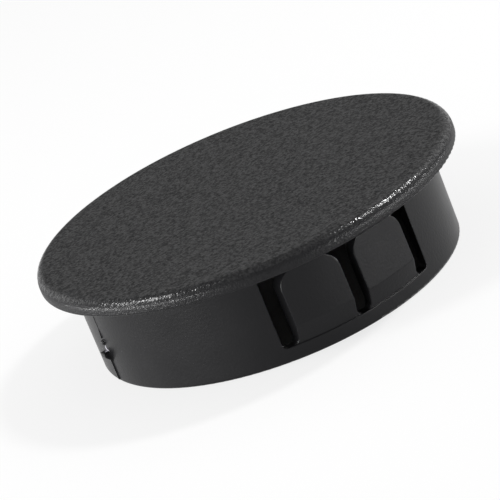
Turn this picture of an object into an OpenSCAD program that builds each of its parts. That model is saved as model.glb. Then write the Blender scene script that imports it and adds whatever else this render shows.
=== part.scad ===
// Snap-in plug that closes a round hole in sheet metal, moulded in one piece.
// A flat head covers the hole. Below it a hollow skirt drops through the panel. Two opposite windows in
// the skirt each hold a pair of sprung tongues that grip the edge of the hole, and a small catch stands
// out on each side between the windows.
// The origin is the centre of the head's underside, where the panel's face lies. +Z goes up through the head.

/* [Panel] */
// Diameter of the hole that the plug closes
hole_d = 38.1; // [30:0.1:60]
// Gap between the skirt and the edge of the hole, on each side
hole_clearance = 0.2; // [0.1:0.05:0.5]

/* [Head] */
// How far the head reaches past the edge of the hole
head_overlap = 2.7; // [1.5:0.1:6]
// Thickness of the head
head_t = 1.6; // [1.4:0.1:3]
// Rounding of the head's top edge
head_top_r = 1; // [0.4:0.1:1.1]
// Rounding of the head's lower edge
head_low_r = 0.2; // [0.1:0.05:0.25]

/* [Skirt] */
// Height of the skirt below the head
skirt_h = 9.6; // [8.6:0.1:16]
// Thickness of the skirt's wall
skirt_wall = 1.2; // [1:0.1:1.6]
// Rounding of the skirt's lower outer edge
skirt_low_r = 0.3; // [0.1:0.05:0.4]
// Height of the closed ring below the windows
ring_h = 1.5; // [1:0.05:2]

/* [Tongues] */
// Width of each tongue
tongue_w = 5.9; // [4.5:0.05:7]
// Slot between the two tongues of a pair
middle_slot = 1.65; // [1:0.05:2.5]
// Slot between a tongue and the side of its window
side_slot = 1.55; // [1:0.05:3]
// Slot between the tip of a tongue and the head
tip_slot = 0.6; // [0.4:0.1:1.4]
// How far the crest of a tongue stands past the edge of the hole
grip = 0.4; // [0.3:0.05:1]
// Height of the ramp from the ring up to the crest
ramp_h = 2; // [1:0.1:3.5]
// How far the front of a tongue leans in from its crest up to the head, to draw the head down
tongue_lean = 0.3; // [0.1:0.05:0.5]
// Rounding of the tip's corners
tip_r = 2; // [0.5:0.1:2.2]
// Fillet where a tongue grows out of the ring
root_r = 0.7; // [0.2:0.05:0.9]
// Rounding of a window's lower corners
window_r = 0.5; // [0.2:0.05:0.9]
// Step in from the skirt's surfaces to the foot of a tongue and of a catch's ramp
foot_step = 0.1; // [0.05:0.05:0.25]

/* [Catches] */
// Width of the catch on each side of the skirt, a quarter turn from the windows
catch_w = 0.9; // [0.6:0.1:2]
// Distance of a catch's ledge below the head
catch_drop = 6.1; // [4.5:0.1:6.5]
// Height of the land on a catch's front, below its ledge
catch_land = 0.45; // [0.2:0.05:0.8]
// Height of the ramp below that land, down to its foot inside the wall
catch_ramp = 0.75; // [0.5:0.05:1.2]

/* [Moulding marks] */
// Thickness of the flash down both sides, where the halves of the mould met
flash_t = 0.15; // [0.1:0.05:0.3]
// How far the flash stands out, below the catches and where it ends above them
flash_out = 0.12; // [0.06:0.01:0.18]
// How far it stands out near the head, where it is only a faint line
faint_out = 0.03; // [0.02:0.01:0.05]
// Distance below the head at which the upper flash ends
flash_drop = 4.7; // [3:0.1:4.8]
// Length over which the upper flash thins out above its end
flash_run = 1.1; // [0.5:0.1:2.5]
// Diameter of the round stub that the gate left above one catch
stub_d = 0.6; // [0.3:0.05:0.7]
// Bare wall between that stub and the catch's ledge
stub_land = 0.65; // [0.2:0.05:0.8]

/* [Hidden] */
$fn = 96;

head_r = hole_d / 2 + head_overlap;
skirt_r = hole_d / 2 - hole_clearance;
bore_r = skirt_r - skirt_wall;
wall_r = (bore_r + skirt_r) / 2;
foot_r = skirt_r - foot_step;
crest_r = hole_d / 2 + grip;

// Heights below the head of the windows' floor, the tongues' crest and the catches' ledge
window_floor = ring_h - skirt_h;
crest_z = window_floor + ramp_h;
ledge_z = -catch_drop;

window_w = 2 * tongue_w + 2 * side_slot + middle_slot;
tongue_x = (middle_slot + tongue_w) / 2;

// Rounds at the foot of a slot stay clear of each other, and fillets dip into the ring to meet it at an angle
slot_share = 0.45;
fillet_r = min(root_r, slot_share * middle_slot, slot_share * side_slot);
fillet_dip = fillet_r / 30;
corner_r = min(window_r, slot_share * side_slot);

// Windows, catches and flash face each other across the plug
turns = [0, 180];

// Depth to which a foot is sunk into what carries it
sink = min(ring_h, head_t) / 2;
// Length by which a cutter or a trimmed shape runs past the edge
past = 1;

// Waste that a round takes off a corner: the arc's centre is the origin, and the corner lies towards x, y
module corner_waste(r, x, y) {
    waste = r + past;
    difference() {
        translate([x > 0 ? 0 : -waste, y > 0 ? 0 : -waste])
            square(waste);
        circle(r);
    }
}

// Half section of the head, with both edges of its rim rounded
module head_section() {
    difference() {
        square([head_r, head_t]);
        translate([head_r - head_top_r, head_t - head_top_r])
            corner_waste(head_top_r, 1, 1);
        translate([head_r - head_low_r, head_low_r])
            corner_waste(head_low_r, 1, -1);
    }
}

// Half section of the skirt's wall, run up into the head
module skirt_section() {
    difference() {
        translate([bore_r, -skirt_h])
            square([skirt_wall, skirt_h + sink]);
        translate([skirt_r - skirt_low_r, skirt_low_r - skirt_h])
            corner_waste(skirt_low_r, 1, -1);
    }
}

// Front view of a window, from the ring up past the head's underside, rounded at its lower corners
module window_outline() {
    difference() {
        translate([-window_w / 2, window_floor])
            square([window_w, skirt_h + past]);
        for (side = [-1, 1])
            translate([side * (window_w / 2 - corner_r), window_floor + corner_r])
                corner_waste(corner_r, side, -1);
    }
}

// Opening through the wall on the -Y side
module window() {
    rotate([90, 0, 0])
        linear_extrude(skirt_r + past)
            window_outline();
}

// Half section of a catch: a flat ledge towards the head, a land as far out as the tongues, and a ramp
module catch_section() {
    land_z = ledge_z - catch_land;
    polygon([
        [wall_r, land_z - catch_ramp],
        [foot_r, land_z - catch_ramp],
        [crest_r, land_z],
        [crest_r, ledge_z],
        [wall_r, ledge_z]
    ]);
}

// Half section of the flash: a sliver that grows down from the head, and an even strip below the catch
module flash_section() {
    full_r = skirt_r + flash_out;
    faint_r = skirt_r + faint_out;
    low_z = skirt_low_r - skirt_h;
    polygon([
        [wall_r, -flash_drop],
        [full_r, -flash_drop],
        [faint_r, flash_run - flash_drop],
        [faint_r, sink],
        [wall_r, sink]
    ]);
    translate([wall_r, low_z])
        square([full_r - wall_r, ledge_z - catch_land - low_z]);
}

// Upright plate at +X, with the given half section and thickness
module side_plate(thickness) {
    translate([0, thickness / 2, 0])
        rotate([90, 0, 0])
            linear_extrude(thickness)
                children();
}

// Stub of the gate, a round bead on the wall at -X
module gate_stub() {
    translate([-skirt_r, 0, ledge_z + stub_land + stub_d / 2])
        sphere(d = stub_d);
}

// Half section of a tongue: a straight back, and a front that ramps out to the crest and then leans in
module tongue_section() {
    back_r = bore_r + foot_step;
    polygon([
        [back_r, window_floor - sink],
        [foot_r, window_floor - sink],
        [foot_r, window_floor],
        [crest_r, crest_z],
        [crest_r - tongue_lean, 0],
        [back_r, 0]
    ]);
}

// Front view of a tongue, rounded at its tip and filleted at its root
module tongue_outline() {
    foot_z = window_floor - sink - past;
    difference() {
        translate([-tongue_w / 2, foot_z])
            square([tongue_w, -tip_slot - foot_z]);
        for (side = [-1, 1])
            translate([side * (tongue_w / 2 - tip_r), -tip_slot - tip_r])
                corner_waste(tip_r, side, 1);
    }
    for (side = [-1, 1])
        translate([side * (tongue_w / 2 + fillet_r), window_floor + fillet_r - fillet_dip])
            corner_waste(fillet_r, -side, -1);
}

// Tongue on the -Y side, to the left or right of the middle slot
module tongue(side) {
    intersection() {
        rotate_extrude()
            tongue_section();
        rotate([90, 0, 0])
            linear_extrude(crest_r + past)
                translate([side * tongue_x, 0])
                    tongue_outline();
    }
}

module hole_plug() {
    color("#1d1e20") {
        rotate_extrude()
            head_section();
        difference() {
            rotate_extrude()
                skirt_section();
            for (turn = turns)
                rotate(turn)
                    window();
        }
        for (turn = turns)
            rotate(turn) {
                side_plate(catch_w)
                    catch_section();
                side_plate(flash_t)
                    flash_section();
                for (side = [-1, 1])
                    tongue(side);
            }
        gate_stub();
    }
}

hole_plug();
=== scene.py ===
import math

import bpy
from mathutils import Matrix, Vector


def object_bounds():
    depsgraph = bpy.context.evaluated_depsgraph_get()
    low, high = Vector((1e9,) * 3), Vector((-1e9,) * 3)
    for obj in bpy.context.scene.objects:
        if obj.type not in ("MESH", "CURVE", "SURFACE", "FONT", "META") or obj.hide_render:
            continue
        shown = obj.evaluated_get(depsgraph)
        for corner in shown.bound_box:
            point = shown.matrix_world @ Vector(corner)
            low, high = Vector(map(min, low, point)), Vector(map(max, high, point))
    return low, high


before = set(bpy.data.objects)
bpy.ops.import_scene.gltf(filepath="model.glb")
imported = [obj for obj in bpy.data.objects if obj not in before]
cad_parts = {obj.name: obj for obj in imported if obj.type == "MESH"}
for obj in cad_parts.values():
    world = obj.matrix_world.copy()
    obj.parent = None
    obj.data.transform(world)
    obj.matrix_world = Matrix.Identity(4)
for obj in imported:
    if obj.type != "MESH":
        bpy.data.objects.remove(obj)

# The plug, one injection moulding in black nylon: head, skirt, sprung tongues and side catches.
# The mould's face over the head was spark eroded, which leaves a fine stipple with burnished high spots.
# The slides that shaped the skirt were smoother, so skirt and tongues have a satin skin, torn at the gate.
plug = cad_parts["hole_plug"]
cad_low, cad_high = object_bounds()

MM = 0.001
nylon_black = (0.0058, 0.0058, 0.0064, 1)
# Light grey at the torn gate: stress-whitened nylon, and partly a painted highlight on the stub's lit top
torn_nylon_and_highlight = (0.42, 0.41, 0.45, 1)
grain_pitch = 0.215 * MM
grain_depth = 0.028 * MM
skin_pitch = 0.28 * MM
skin_depth = 0.016 * MM
edge_round = 0.2 * MM
# Heights over which the grain sets in on the rim, its burnish on the rounded edge, and the flat top
rim_rise = (0.05 * MM, 0.25 * MM)
edge_rise = (cad_high.z - 0.65 * MM, cad_high.z - 0.35 * MM)
top_rise = (cad_high.z - 0.1 * MM, cad_high.z - 0.01 * MM)
# The burnished high spots of the grain: where their noise sets in, and the share left in pits and on the rim
tops_pitch = grain_pitch * 1.35
tops_rise = (0.36, 0.64)
pit_burnish = 0.05
rim_burnish = 0.08
# Gloss of the satin skin and of burnished grain, their roughness, and what changes it from place to place
satin_gloss = 0.14
satin_rough = 0.34
rim_rougher = 0.12
top_rougher = 0.2
edge_smoother = 0.12
cloud_pitch = 3.0 * MM
cloud_swing = 0.1
burnish_gloss = 1.0
burnish_rough = 0.16
burnish_top_rougher = 0.39
# Cosines of the turn away from a face over which its softened edge sets in
edge_rise_cosine = (0.99, 0.85)
# Where the gate was torn off, between its stub and the catch on the side at -X
gate_tear = (-18.95 * MM, 0, -5.9 * MM)
tear_reach = 0.42 * MM
tear_rise = (0.4, 0.6)


class Signal:
    """A socket of a material's node tree: sums and products of signals add the nodes that work them out."""

    def __init__(self, tree, socket):
        self.tree = tree
        self.socket = socket

    def make(self, kind, settings, sockets, output=0):
        """Adds a node of that kind, with its settings made first and its sockets then set or linked."""
        node = self.tree.nodes.new(kind)
        for name, value in settings.items():
            setattr(node, name, value)
        for name, value in sockets.items():
            if isinstance(value, Signal):
                self.tree.links.new(value.socket, node.inputs[name])
            else:
                node.inputs[name].default_value = value
        return Signal(self.tree, node.outputs[output])

    def math(self, operation, first, second):
        return self.make("ShaderNodeMath", {"operation": operation}, {0: first, 1: second})

    def blend(self, factor, first, second):
        """Mixes two colours. The colours of a Mix node are its inputs 6 and 7 and its output 2."""
        return self.make("ShaderNodeMix", {"data_type": "RGBA"}, {"Factor": factor, 6: first, 7: second}, 2)

    def feed(self, shader, name):
        self.tree.links.new(self.socket, shader.inputs[name])

    def __add__(self, other):
        return self.math("ADD", self, other)

    def __radd__(self, other):
        return self.math("ADD", other, self)

    def __sub__(self, other):
        return self.math("SUBTRACT", self, other)

    def __rsub__(self, other):
        return self.math("SUBTRACT", other, self)

    def __mul__(self, other):
        return self.math("MULTIPLY", self, other)

    def __rmul__(self, other):
        return self.math("MULTIPLY", other, self)


def new_material(name):
    """A material with its shader and output nodes, and a signal of the object's own coordinates."""
    material = bpy.data.materials.new(name)
    material.use_nodes = True
    tree = material.node_tree
    place = Signal(tree, None).make("ShaderNodeTexCoord", {}, {}, "Object")
    return material, tree.nodes["Principled BSDF"], tree.nodes["Material Output"], place


def moulded_nylon():
    """Satin nylon, with a grain on the head that is burnished on its high spots."""
    material, shader, surface, place = new_material("black_nylon")

    def step(value, low, high):
        """Rises smoothly from 0 to 1 as the value goes from low to high."""
        return place.make(
            "ShaderNodeMapRange",
            {"interpolation_type": "SMOOTHSTEP"},
            {"Value": value, "From Min": low, "From Max": high},
        )

    def noise(pitch, detail, roughness=0.5):
        return place.make(
            "ShaderNodeTexNoise",
            {},
            {"Vector": place, "Scale": 1 / pitch, "Detail": detail, "Roughness": roughness},
            "Fac",
        )

    def bump(height, depth, normal):
        return place.make(
            "ShaderNodeBump",
            {},
            {"Strength": 1.0, "Distance": depth, "Height": height, "Normal": normal},
        )

    level = place.make("ShaderNodeSeparateXYZ", {}, {0: place}, "Z")
    head = step(level, *rim_rise)
    upper_edge = step(level, *edge_rise)
    flat_top = step(level, *top_rise)

    # Relief: edges softened, a faint skin all over, and the stipple on the head
    pits = place.make(
        "ShaderNodeTexVoronoi",
        {"feature": "SMOOTH_F1"},
        {"Vector": place, "Scale": 1 / grain_pitch, "Smoothness": 0.3},
        "Distance",
    )
    stipple = (pits + noise(grain_pitch, 2.0)) * head
    soft_edges = place.make("ShaderNodeBevel", {"samples": 8}, {"Radius": edge_round})
    skin = bump(noise(skin_pitch, 3.0), skin_depth, soft_edges)
    grain = bump(stipple, grain_depth, skin)

    # Colour: black, but light grey where the gate was torn off, partly stress-whitened torn nylon and partly
    # a painted highlight on the stub's lit top
    from_tear = place.make(
        "ShaderNodeVectorMath", {"operation": "DISTANCE"}, {0: place, 1: gate_tear}, "Value"
    )
    torn_and_highlight = step(from_tear, tear_reach, tear_reach / 2) * step(noise(tear_reach / 2, 2.0), *tear_rise)
    colour = place.blend(torn_and_highlight, nylon_black, torn_nylon_and_highlight)

    # Roughness of the satin: handling has polished the skirt's sharp edges
    face_normal = place.make("ShaderNodeNewGeometry", {}, {}, "Normal")
    along_face = place.make(
        "ShaderNodeVectorMath", {"operation": "DOT_PRODUCT"}, {0: soft_edges, 1: face_normal}, "Value"
    )
    edge = step(along_face, *edge_rise_cosine)
    cloud = (noise(cloud_pitch, 2.0) - 0.5) * cloud_swing
    rough = satin_rough + head * rim_rougher + flat_top * top_rougher + cloud - edge * edge_smoother

    colour.feed(shader, "Base Color")
    rough.feed(shader, "Roughness")
    grain.feed(shader, "Normal")
    shader.inputs["Specular IOR Level"].default_value = satin_gloss
    satin = Signal(material.node_tree, shader.outputs["BSDF"])

    # The high spots of the grain are burnished, and the pits between them stay matt
    tops = pit_burnish + step(noise(tops_pitch, 3.0, 0.75), *tops_rise) * (1 - pit_burnish)
    burnish = tops * head * (rim_burnish + upper_edge * (1 - rim_burnish))
    burnished = place.make(
        "ShaderNodeBsdfPrincipled",
        {},
        {
            "Base Color": nylon_black,
            "Roughness": burnish_rough + flat_top * burnish_top_rougher,
            "Specular IOR Level": burnish_gloss,
            "Normal": grain,
        },
    )
    place.make("ShaderNodeMixShader", {}, {0: burnish, 1: satin, 2: burnished}).feed(surface, "Surface")
    return material


plug.data.materials.clear()
plug.data.materials.append(moulded_nylon())

# The studio: a pale floor under the plug, wide enough to fill the picture.
# It is matt, and lies in the plane that the skirt's rim stands on.
floor_reach = 3.0
floor_pale = (0.95, 0.95, 0.95, 1)
# Inside the skirt the floor is painted darker, a painted shade for the plug's hollow, so that the slots look
# into the dark
floor_painted_shade = (0.45, 0.45, 0.45, 1)
skirt_reach = 18.5 * MM
# Camera and gloss see the floor outside the skirt partly as plain white, which keeps the shadow light
plain_white = 0.75

floor_mesh = bpy.data.meshes.new("floor")
signs = ((-1, -1), (1, -1), (1, 1), (-1, 1))
corners = [(x * floor_reach, y * floor_reach, cad_low.z) for x, y in signs]
floor_mesh.from_pydata(corners, [], [(0, 1, 2, 3)])
floor = bpy.data.objects.new("floor", floor_mesh)
bpy.context.collection.objects.link(floor)

floor_paint, floor_shader, floor_surface, floor_place = new_material("floor_paint")
level_place = floor_place.make(
    "ShaderNodeVectorMath", {"operation": "MULTIPLY"}, {0: floor_place, 1: (1, 1, 0)}, "Vector"
)
from_axis = floor_place.make("ShaderNodeVectorMath", {"operation": "LENGTH"}, {0: level_place}, "Value")
outside = floor_place.math("GREATER_THAN", from_axis, skirt_reach)
# Pale floor outside the skirt, painted shade inside it
floor_place.blend(outside, floor_painted_shade, floor_pale).feed(floor_shader, "Base Color")
floor_shader.inputs["Roughness"].default_value = 0.9
floor_shader.inputs["Specular IOR Level"].default_value = 0.0
paint = Signal(floor_paint.node_tree, floor_shader.outputs["BSDF"])

camera_ray, glossy_ray, transmission_ray = [
    floor_place.make("ShaderNodeLightPath", {}, {}, name)
    for name in ("Is Camera Ray", "Is Glossy Ray", "Is Transmission Ray")
]
mirrored = floor_place.math("MAXIMUM", glossy_ray, transmission_ray)
seen = floor_place.math("MAXIMUM", camera_ray, mirrored)
white = floor_place.make("ShaderNodeEmission", {}, {"Color": (1, 1, 1, 1), "Strength": 1.0})
shown = floor_place.make("ShaderNodeMixShader", {}, {0: seen * outside * plain_white, 1: paint, 2: white})
shown.feed(floor_surface, "Surface")
floor_mesh.materials.append(floor_paint)

# The camera stands at the photograph's angle: on the gate's side of the front window, looking down,
# and rolled so that the plug leans to the left in the picture.
camera_azimuth = math.radians(-20.3)
camera_elevation = math.radians(19.65)
camera_roll = math.radians(22.22)
camera_distance = 274.35 * MM
sensor = 36.0
focal_pixels = 2799.2
frame_pixels = 500
# How far the middle of the picture lies from the head's centre, to the right and down in the picture
aim_right = 0.383 * MM
aim_down = 4.343 * MM


def direction(azimuth, elevation):
    """Points from the plug towards an azimuth, counted from the front window, and an elevation."""
    return Vector((
        math.sin(azimuth) * math.cos(elevation),
        -math.cos(azimuth) * math.cos(elevation),
        math.sin(elevation),
    ))


back = direction(camera_azimuth, camera_elevation)
sideways = Vector((math.cos(camera_azimuth), math.sin(camera_azimuth), 0))
upright = back.cross(sideways)
right = sideways * math.cos(camera_roll) - upright * math.sin(camera_roll)
up = back.cross(right)
camera_data = bpy.data.cameras.new("camera")
camera_data.sensor_width = sensor
camera_data.lens = focal_pixels / frame_pixels * sensor
camera_data.clip_start = camera_distance / 100
camera_data.clip_end = camera_distance * 100
camera = bpy.data.objects.new("camera", camera_data)
turn = Matrix((right, up, back)).transposed().to_4x4()
eye = right * aim_right - up * aim_down + back * camera_distance
camera.matrix_world = Matrix.Translation(eye) @ turn
bpy.context.collection.objects.link(camera)
scene = bpy.context.scene
scene.camera = camera

# The light: an even, dim room, a soft box high on each side that draws the glints along the rim,
# a low bar on each side that lights the skirt from below the head's top, and three dim panels behind.
room_level = 0.37
scene.view_settings.view_transform = "Standard"


def soft_box(name, azimuth, elevation, distance, width, height, watts):
    """An oblong lamp that faces the plug, in metres and in degrees from the camera's line and the level."""
    toward = direction(camera_azimuth + math.radians(azimuth), math.radians(elevation))
    lamp = bpy.data.lights.new(name, "AREA")
    lamp.shape = "RECTANGLE"
    lamp.size = width
    lamp.size_y = height
    lamp.energy = watts
    holder = bpy.data.objects.new(name, lamp)
    holder.location = toward * distance
    holder.rotation_euler = toward.to_track_quat("Z", "Y").to_euler()
    bpy.context.collection.objects.link(holder)


soft_box("left_box", -80, 41, 0.35, 0.075, 0.14, 0.48)
soft_box("right_box", 101, 52, 0.35, 0.039, 0.046, 0.52)
soft_box("left_bar", -72, -1.0, 0.27, 0.42, 0.0095, 1.5)
soft_box("right_bar", 70, -1.0, 0.27, 0.42, 0.0095, 1.0)
soft_box("back_panel", 180, 22, 0.6, 0.5, 0.5, 0.08)
soft_box("left_back", -135, 22, 0.5, 0.3, 0.3, 0.18)
soft_box("right_back", 130, 28, 0.5, 0.3, 0.3, 0.18)

world = bpy.data.worlds.new("room")
world.use_nodes = True
scene.world = world
room = world.node_tree.nodes["Background"]
room.inputs["Color"].default_value = (1, 1, 1, 1)
room.inputs["Strength"].default_value = room_level
